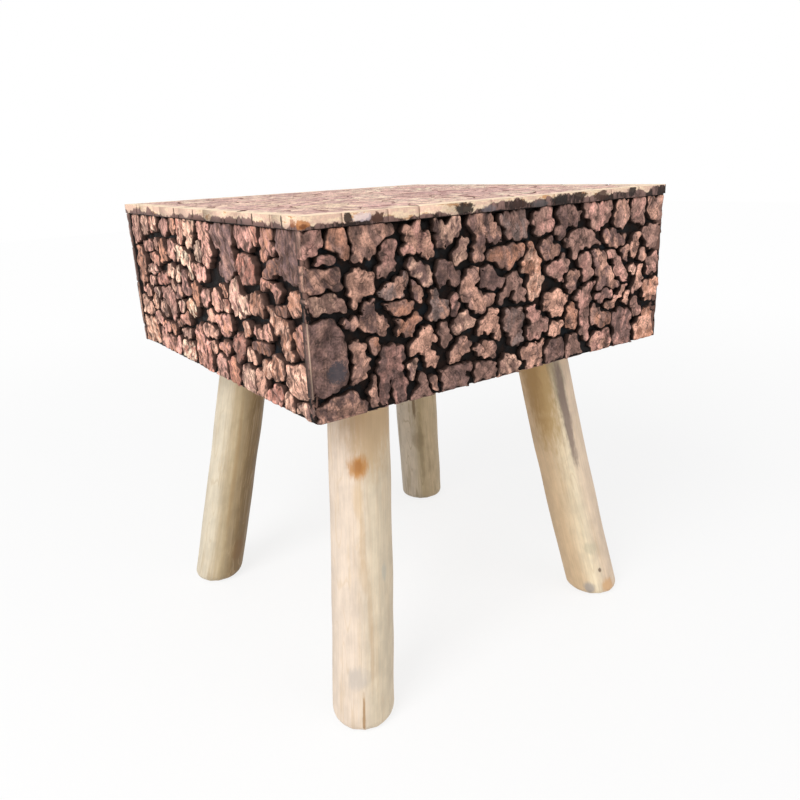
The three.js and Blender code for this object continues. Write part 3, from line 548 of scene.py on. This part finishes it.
def rimColor(tree, look, here, deep, specks):  # the seat's sawn band: pale above an uneven dark crust
    along = stretched(tree, here, (1, 1, 0.3))
    zones = cloud(tree, along, 34.0, 2.0)
    teeth = cloud(tree, along, 170.0, 3.0, 0.6)
    stains = cloud(tree, stretched(tree, here, (0.7, 0.7, 2)), 75.0, 4.0, 0.65)
    rim = blendColors(tree, ramp(tree, stains, 0.44, 0.56, 0.0, 0.85), look["band"], look["blush"])
    rim = blendColors(tree, ramp(tree, stains, 0.45, 0.36, 0.0, 0.85), rim, look["stain"])
    rim = shadeBy(tree, rim, cloudTo(tree, specks, 0.86, 1.08))
    onward = partOf(tree, here, "X")
    leftFace = ramp(tree, onward, *look["leftFrom"])
    crumbs = calc(tree, "ADD", teeth, spreadFrom(tree, leftFace, 0, 0.1))
    crust = blendColors(tree, ramp(tree, crumbs, 0.42, 0.6), look["crust"], look["crustLight"])
    level = calc(tree, "ADD", deep, spreadFrom(tree, zones, 0.5, 2.4))
    level = calc(tree, "ADD", level, spreadFrom(tree, teeth, 0.5, 1.0))
    level = calc(tree, "ADD", level, ramp(tree, leftFace, 0.0, 1.0, 0.05, 0.12))
    level = calc(tree, "ADD", level, ramp(tree, onward, *look["crustFrom"], 0.0, 0.36))
    rim = blendColors(tree, ramp(tree, level, 0.64, 0.78), rim, crust)
    frayed = cloud(tree, here, 260.0, 4.0, 0.7)
    return addMarks(tree, rim, here, frayed, look["rimMarkEdges"], look["rimMarks"])


# the filler between the slices

fillerLook = {  # the bed rises by rimRise within rimReach of the lower and upright rims
    "step": 5, "inset": 1.2, "side": 2.8, "top": 8.4, "highest": 8.6, "rimRise": 5.6, "rimReach": 7,
    "lump": 1.4, "topLump": 0.4, "lumpSize": 9,
}
fillerPaints = {  # chipFrom: where the upright edges' chips start and are full. seatFrom: the height below which the seat's filler is painted near black, as painted shade
    "under": paint(24, 17, 15), "chip": paint(122, 92, 82),
    "chipFrom": (191 * mm, 195 * mm), "seatFrom": 443.6 * mm,
}


def buildFiller(name):  # the dark bed between the slices: a slab with a lumpy face
    ways, ((leftEnd, rightEnd), (lowEnd, highEnd), (back, _)) = panelSides(name)
    across, up, out = ways
    inset = fillerLook["inset"] * mm
    upper = inset if name == "top" else 0
    width, height = rightEnd - leftEnd - 2 * inset, highEnd - lowEnd - inset - upper
    step = fillerLook["step"] * mm
    mesh = bmesh.new()
    bmesh.ops.create_grid(mesh, x_segments=round(width / step), y_segments=round(height / step), size=0.5)
    bmesh.ops.scale(mesh, vec=(width, height, 1), verts=mesh.verts)
    grown = bmesh.ops.extrude_face_region(mesh, geom=mesh.faces[:])["geom"]
    level = fillerLook["top" if name == "top" else "side"]
    lump = fillerLook["topLump" if name == "top" else "lump"]
    for vert in (g for g in grown if isinstance(g, bmesh.types.BMVert)):
        rise = 0
        if name != "top":
            rimGap = min(width / 2 - abs(vert.co.x), height / 2 + vert.co.y) / mm
            rise = fillerLook["rimRise"] * max(0, 1 - rimGap / fillerLook["rimReach"])
        vert.co.z = level + rise + lump * noise.noise(vert.co / mm / fillerLook["lumpSize"])
        vert.co.z = min(vert.co.z, fillerLook["highest"]) * mm
    middle = across * (leftEnd + rightEnd) / 2 + up * (lowEnd + inset + highEnd - upper) / 2 + out * back
    turn = Matrix(ways).transposed().to_4x4()
    bmesh.ops.transform(mesh, matrix=Matrix.Translation(middle) @ turn, verts=mesh.verts)
    bmesh.ops.recalc_face_normals(mesh, faces=mesh.faces)
    return finishMesh(mesh, f"filler_{name}")


def fillerMaterial(name, dark, light, shine, colorFrom):  # painted shade: near black below a height. Patches of the shine colour are painted glints
    material, tree, shader = newMaterial(name, 0.5)
    shader.inputs["Specular IOR Level"].default_value = 0.12
    here = objectPlace(tree)
    lumps = cloud(tree, here, 110.0, 4.0, 0.6)
    color = blendColors(tree, ramp(tree, lumps, 0.45, 0.7), dark, light)
    # painted reflection: patches in the shine colour, on the dark filler bluish glints
    color = blendColors(tree, ramp(tree, cloud(tree, here, 60.0, 2.0), 0.6, 0.68), color, shine)
    # painted shade: below colorFrom the filler is painted near black, where it shows at the seat's sides
    above = ramp(tree, partOf(tree, here, "Z"), colorFrom, colorFrom + mm)
    color = blendColors(tree, above, fillerPaints["under"], color)
    corner = ramp(tree, fromMiddle(tree, here, "MINIMUM"), *fillerPaints["chipFrom"])
    chips = ramp(tree, cloud(tree, here, 120.0, 3.0, 0.6), 0.44, 0.5)
    color = blendColors(tree, calc(tree, "MULTIPLY", corner, chips), color, fillerPaints["chip"])
    setSurface(tree, shader, color, ramp(tree, lumps, 0.35, 0.65, 0.45, 0.8))
    roughen(tree, shader, cloud(tree, here, 420.0, 4.0), 0.6, 0.8 * mm)
    return material


# the faces of the box

seatMarks = [  # places on the rim of the seat, reach along and up, colour, share
    ((-199, -199, 444), 6, 3.2, paint(184, 118, 62), 0.85),
    ((-200, -189, 445), 4, 3, paint(150, 92, 52), 0.7),
    ((-198, -200, 443), 3, 1.6, paint(120, 66, 34), 0.8),
    ((-200, 45, 446), 1.4, 4, paint(62, 42, 34), 0.9),
    ((-200, -3, 446), 1.4, 4, paint(62, 42, 34), 0.9),
    ((-200, -125, 446), 1.3, 5, paint(58, 40, 32), 0.9),
    ((-200, -173, 446), 1.2, 5, paint(58, 40, 32), 0.9),
    ((-162, -200, 446), 3.5, 5, paint(48, 32, 26), 0.95),
    ((-137, -200, 444.5), 6, 4, paint(84, 54, 42), 0.95),
    ((-55, -200, 445), 9, 5, paint(34, 24, 19), 0.95),
    ((4, -200, 444.5), 8, 4, paint(58, 38, 31), 0.95),
    ((52, -200, 445), 9, 4.4, paint(34, 25, 22), 0.95),
    ((77, -200, 446.5), 9, 3.6, paint(44, 28, 22), 0.95),
    ((106, -200, 445), 10, 4.4, paint(66, 42, 33), 0.9),
    ((149, -200, 446), 6, 5, paint(36, 25, 21), 0.95),
    ((-150, -200, 446), 7, 3.2, paint(226, 208, 212), 0.6),
    ((-29, -200, 443), 8, 2.6, paint(120, 112, 116), 0.7),
    ((28, -200, 443), 9, 3, paint(92, 86, 86), 0.8),
]
frontWoodLook = {
    "dark": paint(84, 60, 55), "tintShare": 0.9, "darkFrom": (0.52, 0.68), "darkShare": 0.65,
    "crease": 0.75, "creaseWay": (1, 1, 1), "creaseReach": 0.035, "creaseFrom": (0.4, 0.54),
    # relief: how much lighter raised parts and darker hollows are painted, as painted light and shade
    "creaseDepth": 0, "patchScale": 85.0, "speck": 0.42, "fibre": 0.16, "relief": 0.34, "rings": 0.85,
    "gloss": 0.25, "bump": 0.5, "pale": paint(226, 196, 168), "rimPale": 0,
    "bark": paint(58, 41, 35), "pitShade": paint(22, 16, 15), "markEdges": (1.6, 1.25, 0.6),
    "marks": [((-179, -200, 337), 8, 9, paint(66, 64, 70), 0.8)],
}
sideWoodLook = frontWoodLook | {
    "speck": 0.32, "crease": 0.95, "creaseWay": (0.95, 0.32, 1), "creaseReach": 0.06,
    "creaseFrom": (0.38, 0.46), "creaseDepth": 0.6, "bark": paint(82, 59, 51),
}
topWoodLook = frontWoodLook | {
    "dark": paint(154, 112, 108), "tintShare": 0.85, "darkFrom": (0.47, 0.61), "darkShare": 0.85,
    "crease": 0.5, "patchScale": 95.0, "speck": 0.36, "fibre": 0.12, "relief": 0.08, "rings": 0.92,
    "gloss": 0.3, "bump": 0.25, "pale": paint(250, 228, 196), "rimPale": 0.85,
    "bark": paint(140, 108, 98), "pitShade": paint(140, 108, 98), "marks": [],
    "band": paint(242, 215, 184), "blush": paint(222, 184, 164), "stain": paint(200, 142, 94),
    "crust": paint(48, 33, 28), "crustLight": paint(136, 106, 98),
    "paleFrom": (180 * mm, 196 * mm), "leftFrom": (-190 * mm, -199 * mm), "crustFrom": (-80 * mm, 100 * mm),
    "rimMarkEdges": (2.4, 1.2, 0.8), "rimMarks": seatMarks,
}
frontWood = sliceMaterial("sawnDriftwood", frontWoodLook)
sideWood = sliceMaterial("splitDriftwood", sideWoodLook)
topWood = sliceMaterial("sandedDriftwood", topWoodLook)
sideFiller = fillerMaterial("darkFiller", paint(14, 11, 11), paint(44, 31, 26), paint(26, 30, 34), 0)
topFiller = fillerMaterial(
    "brownFiller", paint(112, 84, 76), paint(164, 130, 118), paint(140, 112, 106), fillerPaints["seatFrom"])
panelWoods = {"front": frontWood, "back": frontWood, "left": sideWood, "right": sideWood, "top": topWood}
for panelName, panelWood in panelWoods.items():
    onTop = panelName == "top"
    wood = buildSlices(panelName)
    bed = buildFiller(panelName)
    wood.data.materials.append(panelWood)
    bed.data.materials.append(topFiller if onTop else sideFiller)
    for piece in (wood, bed):
        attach(piece, "root")
        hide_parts(f"slices_{panelName}")
    print(f"{panelName} face: {len(wood.data.polygons)} faces")


# the legs

legLook = {  # lengths in millimetres
    "sides": 72, "rings": 72, "footRings": 6, "footRound": 9, "bore": 12, "boreFrom": 200,
    "wave": 0.9, "waveSize": 45, "waveRound": 0.6, "facets": 9, "facetShare": 0.5, "facetShift": 0.25,
    "facetWaves": 3, "ringGap": 0.2, "grow": 0.4, "reach": 28, "markEdges": (2.0, 1.4, 0.55),
    "sideFray": 14, "sideStart": 12, "sideFull": 30,
}

legs = {  # sides: turn in degrees, colour, share. marks: turn, height, width, length, colour, share. Some sides and marks are painted shade and shadow, as noted at each leg
    # the mark at height 268 is painted shadow of the seat box, and the side turned to -60 degrees is painted
    # a little darker as shade
    "front_left": {
        "wood": paint(216, 201, 178), "streak": paint(200, 176, 146), "shift": 0.0,
        "sides": [(-175, paint(214, 194, 182), 0.5), (-60, paint(200, 184, 158), 0.5)],
        "marks": [
            (-96, 268, 24, 40, paint(196, 162, 118), 0.62), (-126, 233, 8.5, 11, paint(186, 130, 66), 0.95),
            (-126, 233, 4.5, 6, paint(160, 104, 52), 0.6), (-127, 206, 5, 16, paint(206, 178, 142), 0.5),
            (-121, 170, 3, 24, paint(194, 166, 132), 0.5), (-117, 142, 3, 16, paint(196, 168, 134), 0.45),
            (-109, 112, 2, 30, paint(190, 164, 132), 0.45), (-106, 72, 1.6, 34, paint(188, 160, 128), 0.5),
            (-134, 262, 3, 34, paint(186, 160, 128), 0.5), (-133, 50, 9, 11, paint(186, 176, 166), 0.6),
            (-77, 138, 3, 8, paint(176, 174, 164), 0.5), (-122, 16, 1.4, 24, paint(160, 126, 88), 0.9)]},
    # the marks at heights 266 and 268 are painted shadow of the seat box, in amber
    "front_right": {
        "wood": paint(232, 216, 186), "streak": paint(204, 180, 146), "shift": 2.0,
        "sides": [(160, paint(194, 160, 122), 0.7), (-50, paint(212, 184, 164), 0.6)],
        "marks": [
            (-150, 268, 18, 80, paint(184, 150, 96), 0.85), (-174, 266, 12, 60, paint(150, 116, 74), 0.45),
            (-108, 268, 8, 50, paint(160, 150, 128), 0.7), (-104, 226, 5, 60, paint(126, 106, 98), 0.8),
            (-118, 62, 8, 8, paint(186, 176, 150), 0.5), (-106, 33, 1.9, 2.4, paint(96, 74, 58), 0.85),
            (-90, 11, 8, 9, paint(208, 160, 108), 0.7), (-140, 11, 6, 8, paint(150, 146, 146), 0.7)]},
    # the sides turned to -75 and -40 degrees are painted shade, on the side away from the light
    "back_left": {
        "wood": paint(208, 196, 174), "streak": paint(182, 162, 132), "shift": 4.0,
        "sides": [(-75, paint(170, 148, 110), 0.8), (-40, paint(124, 100, 66), 0.95)],
        "marks": [
            (-110, 150, 3, 80, paint(166, 138, 98), 0.5), (-71, 39, 9, 14, paint(124, 94, 60), 0.7)]},
    # its wood is painted darker as shade under the seat, on an olive tone of its own, and its two sides are
    # left lighter
    "back_right": {
        "wood": paint(156, 139, 103), "streak": paint(134, 116, 84), "shift": 6.0,
        "sides": [(170, paint(200, 186, 168), 0.9), (-60, paint(196, 175, 144), 0.85)],
        "marks": [
            (-127, 107, 9, 15, paint(130, 112, 84), 0.45), (-133, 165, 2, 24, paint(108, 86, 60), 0.8),
            (-120, 90, 3, 60, paint(128, 112, 82), 0.5)]},
}


def legRings(name):  # the height, middle and mean reach of each ring of a CAD leg
    low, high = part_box(f"hanger_bolt_{name}")
    bolt = (low + high) / 2
    levels = {}
    for vert in nodes[f"leg_{name}"].data.vertices:
        aside = math.hypot(vert.co.x - bolt.x, vert.co.y - bolt.y)
        if aside > legLook["bore"] * mm or vert.co.z < legLook["boreFrom"] * mm:
            levels.setdefault(round(vert.co.z / mm, 1), set()).add(tuple(round(c, 5) for c in vert.co))
    rings = []
    for height, places in sorted(levels.items()):
        points = [Vector(place) for place in places]
        middle = sum(points, Vector()) / len(points)
        rings.append((height * mm, middle, sum((p - middle).length for p in points) / len(points)))
    return rings


def ringAt(rings, height):  # the middle and reach of a leg at any height
    for (lowZ, lowMiddle, lowReach), (highZ, highMiddle, highReach) in zip(rings, rings[1:]):
        if height <= highZ:
            share = (height - lowZ) / (highZ - lowZ)
            return lowMiddle.lerp(highMiddle, share), lowReach + (highReach - lowReach) * share
    return rings[-1][1:]


def buildLeg(name, spec):
    footRound = legLook["footRound"] * mm
    rings = [ring for ring in legRings(name) if ring[0] > footRound - legLook["ringGap"] * mm]
    top = rings[-1][0]
    mesh = bmesh.new()
    bmesh.ops.create_cone(
        mesh, cap_ends=True, segments=legLook["sides"], radius1=1, radius2=1, depth=1)
    uprights = [e for e in mesh.edges if abs(e.verts[0].co.z - e.verts[1].co.z) > 0.5]
    bmesh.ops.subdivide_edges(mesh, edges=uprights, cuts=legLook["rings"] - 1, use_grid_fill=True)
    logPlace = mesh.verts.layers.float_vector.new("logPlace")
    slot = math.tau / legLook["facets"]
    for vert in mesh.verts:
        step = round((vert.co.z + 0.5) * legLook["rings"])
        angle = math.atan2(vert.co.y, vert.co.x)
        way = Vector((math.cos(angle), math.sin(angle), 0))
        rounding = 0
        if step < legLook["footRings"]:
            turn = math.pi / 2 * step / legLook["footRings"]
            height = footRound * (1 - math.cos(turn))
            rounding = footRound * (1 - math.sin(turn))
        else:
            share = (step - legLook["footRings"]) / (legLook["rings"] - legLook["footRings"])
            height = footRound + (top - footRound) * share
        middle, reach = ringAt(rings, height)
        uneven = legLook["facetShift"] * math.sin(legLook["facetWaves"] * angle)
        bent = (angle + spec["shift"] + uneven) % slot - slot / 2
        facet = 1 + legLook["facetShare"] * (math.cos(slot / 2) / math.cos(bent) - 1)
        wavePlace = Vector((spec["shift"], 0, height / mm / legLook["waveSize"]))
        wave = noise.noise(way * legLook["waveRound"] + wavePlace)
        radius = (reach + legLook["grow"] * mm) * facet + wave * legLook["wave"] * mm - rounding
        vert.co = Vector((middle.x, middle.y, height)) + way * radius
        vert.co = Vector(min(max(c, low), high) for c, low, high in zip(vert.co, *cadBox))
        vert[logPlace] = way * radius + Vector((0, 0, height))
    bmesh.ops.recalc_face_normals(mesh, faces=mesh.faces)
    return finishMesh(mesh, f"log_{name}")


def aroundLeg(degrees):
    return Vector((math.cos(math.radians(degrees)), math.sin(math.radians(degrees)), 0))


def logMaterial(name, spec):
    material, tree, shader = newMaterial(f"peeledLog_{name}", 0.55)
    shader.inputs["Specular IOR Level"].default_value = 0.35
    place = readAttribute(tree, "logPlace", "Vector")
    streaks = cloud(tree, stretched(tree, place, (150, 150, 10)), 1.0, 5.0, 0.62, 0.6)
    fibres = cloud(tree, stretched(tree, place, (700, 700, 30)), 1.0, 3.0, 0.6)
    smudges = cloud(tree, stretched(tree, place, (70, 70, 40)), 1.0, 4.0, 0.6)
    frayed = cloud(tree, stretched(tree, place, (420, 420, 90)), 1.0, 4.0, 0.6)
    frayed = calc(tree, "MULTIPLY", calc(tree, "ADD", smudges, frayed), 0.5)
    figure = cloud(tree, stretched(tree, place, (34, 34, 5)), 1.0, 2.0, 0.5, 0.5)
    lines = ramp(tree, calc(tree, "PINGPONG", figure, 0.035), 0.007, 0.001, 0.0, 0.4)
    color = spec["wood"]
    # the sides' colours are partly the wood's own and partly painted shade, as noted at each leg
    for degrees, tint, share in spec["sides"]:
        ends = {0: place, 1: aroundLeg(degrees)}
        side = addNode(tree, "ShaderNodeVectorMath", ends, operation="DOT_PRODUCT").outputs["Value"]
        side = calc(tree, "ADD", side, calc(tree, "MULTIPLY", streaks, legLook["sideFray"] * mm))
        side = ramp(tree, side, legLook["sideStart"] * mm, legLook["sideFull"] * mm, 0.0, share)
        color = blendColors(tree, side, color, tint)
    color = blendColors(tree, ramp(tree, streaks, 0.48, 0.72, 0.0, 0.6), color, spec["streak"])
    lines = calc(tree, "MULTIPLY", lines, ramp(tree, smudges, 0.4, 0.6))
    color = blendColors(tree, lines, color, spec["streak"])
    color = shadeBy(tree, color, cloudTo(tree, smudges, 0.9, 1.08))
    color = shadeBy(tree, color, cloudTo(tree, fibres, 0.94, 1.05))
    # some marks are painted shadow of the seat box on the top of a leg
    marks = [
        (aroundLeg(degrees) * legLook["reach"] + Vector((0, 0, height)), *mark)
        for degrees, height, *mark in spec["marks"]]
    color = addMarks(tree, color, place, frayed, legLook["markEdges"], marks)
    setSurface(tree, shader, color, cloudTo(tree, fibres, 0.45, 0.65))
    roughen(tree, shader, calc(tree, "ADD", streaks, calc(tree, "MULTIPLY", fibres, 0.4)), 0.25, 0.6 * mm)
    return material


for legName, legSpec in legs.items():
    log = buildLeg(legName, legSpec)
    log.data.materials.append(logMaterial(legName, legSpec))
    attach(log, "root")
    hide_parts(f"leg_{legName}")
print("legs done")


# the boards, blocks and hardware keep their CAD shapes

def boardMaterial(name, light, dark, grainTurn):
    material, tree, shader = newMaterial(name, 0.65)
    here = objectPlace(tree)
    figure = cloud(tree, stretched(tree, here, (6, 60, 60), grainTurn), 1.0, 4.0, 0.6, 1.2)
    fibres = cloud(tree, stretched(tree, here, (40, 900, 900), grainTurn), 1.0, 3.0)
    color = blendColors(tree, ramp(tree, figure, 0.35, 0.68), light, dark)
    color = shadeBy(tree, color, cloudTo(tree, fibres, 0.88, 1.06))
    setSurface(tree, shader, color, cloudTo(tree, fibres, 0.55, 0.75))
    roughen(tree, shader, fibres, 0.3, 0.3 * mm)
    return material


def steelMaterial():
    material, tree, shader = newMaterial("zincSteel", 0.35)
    shader.inputs["Metallic"].default_value = 1.0
    dull = cloud(tree, objectPlace(tree), 300.0, 4.0)
    color = blendColors(tree, ramp(tree, dull, 0.35, 0.7), paint(196, 198, 200), paint(160, 160, 156))
    setSurface(tree, shader, color, cloudTo(tree, dull, 0.28, 0.45))
    return material


plyPaints = (paint(206, 178, 136), paint(176, 140, 98))
plywood = boardMaterial("plywood", *plyPaints, (0, 0, 0))
plywoodAcross = boardMaterial("plywoodAcross", *plyPaints, (0, 0, math.pi / 2))
pine = boardMaterial("pineBlock", paint(224, 198, 150), paint(198, 160, 108), (0, math.pi / 2, 0))
steel = steelMaterial()
finishes = {"board": plywood, "block": pine, "steel": steel}
slotOf = {entry["node"]: entry["material_slot"] for entry in frame["record"]["subparts"]}
for nodeName, node in nodes.items():
    if slotOf[nodeName] in finishes:
        finish = finishes[slotOf[nodeName]]
        if nodeName in ("apron_left", "apron_right"):
            finish = plywoodAcross
        node.data.materials.clear()
        node.data.materials.append(finish)
print("boards and hardware done")


# the stage, the lights and the camera

cameraLook = {
    "place": (-437.5, -646.2, 482.5), "turn": 35.03, "down": 18.15, "roll": -2.58, "lens": 32.86,
    "sensor": 36,
}


def setCamera():
    turn, down, roll = (math.radians(cameraLook[part]) for part in ("turn", "down", "roll"))
    forward = Vector((math.cos(down) * math.sin(turn), math.cos(down) * math.cos(turn), -math.sin(down)))
    levelRight = Vector((math.cos(turn), -math.sin(turn), 0))
    levelUp = levelRight.cross(forward)
    right = levelRight * math.cos(roll) + levelUp * math.sin(roll)
    data = bpy.data.cameras.new("camera")
    data.lens = cameraLook["lens"]
    data.sensor_width = cameraLook["sensor"]
    camera = bpy.data.objects.new("camera", data)
    axes = Matrix((right, right.cross(forward), -forward)).transposed().to_4x4()
    camera.matrix_world = Matrix.Translation(Vector(cameraLook["place"]) * mm) @ axes
    bpy.context.scene.collection.objects.link(camera)
    bpy.context.scene.camera = camera


lights = {
    "key": {"place": (-1.9, -0.7, 1.9), "size": 1.4, "power": 50},
    "fill": {"place": (0.9, -2.2, 1.2), "size": 2.0, "power": 12},
}
lightsAim = Vector((0, 0, 0.3))


def setLights():
    for name, spec in lights.items():
        data = bpy.data.lights.new(name, "AREA")
        data.shape = "SQUARE"
        data.size = spec["size"]
        data.energy = spec["power"]
        lamp = bpy.data.objects.new(name, data)
        lamp.location = spec["place"]
        aim = lightsAim - Vector(spec["place"])
        lamp.rotation_euler = aim.to_track_quat("-Z", "Y").to_euler()
        bpy.context.scene.collection.objects.link(lamp)


stageLook = {
    "size": 6.0, "floor": (0.86, 0.86, 0.86, 1), "roughness": 0.9, "gloss": 0.1,
    "fade": (0.3, 2.0), "white": (0.8, 0.98), "daylight": 0.55,
}


def seenRay(tree):  # 1 where the camera sees a surface, straight or in a reflection
    rays = addNode(tree, "ShaderNodeLightPath").outputs
    seen = calc(tree, "MAXIMUM", rays["Is Camera Ray"], rays["Is Glossy Ray"])
    return calc(tree, "MAXIMUM", seen, rays["Is Transmission Ray"])


def setFloor():
    mesh = bmesh.new()
    bmesh.ops.create_grid(mesh, x_segments=1, y_segments=1, size=stageLook["size"])
    floor = finishMesh(mesh, "floor", smooth=False)
    material, tree, shader = newMaterial("paleFloor", stageLook["roughness"])
    shader.inputs["Base Color"].default_value = stageLook["floor"]
    shader.inputs["Specular IOR Level"].default_value = stageLook["gloss"]
    floor.data.materials.append(material)
    here = objectPlace(tree)
    distance = addNode(tree, "ShaderNodeVectorMath", {0: here}, operation="LENGTH").outputs["Value"]
    white = ramp(tree, distance, *stageLook["fade"], *stageLook["white"])
    glow = addNode(tree, "ShaderNodeEmission").outputs[0]
    mixed = addNode(tree, "ShaderNodeMixShader", {
        0: calc(tree, "MULTIPLY", seenRay(tree), white), 1: shader.outputs[0], 2: glow}).outputs[0]
    tree.links.new(mixed, tree.nodes["Material Output"].inputs["Surface"])


def setWorld():
    world = bpy.data.worlds.new("studio")
    bpy.context.scene.world = world
    world.use_nodes = True
    tree = world.node_tree
    background = tree.nodes["Background"]
    background.inputs["Color"].default_value = (1, 1, 1, 1)
    strength = ramp(tree, seenRay(tree), 0.0, 1.0, stageLook["daylight"], 1.0)
    tree.links.new(strength, background.inputs["Strength"])


setCamera()
setLights()
setFloor()
setWorld()
bpy.context.scene.view_settings.view_transform = "Standard"

print("scene done")
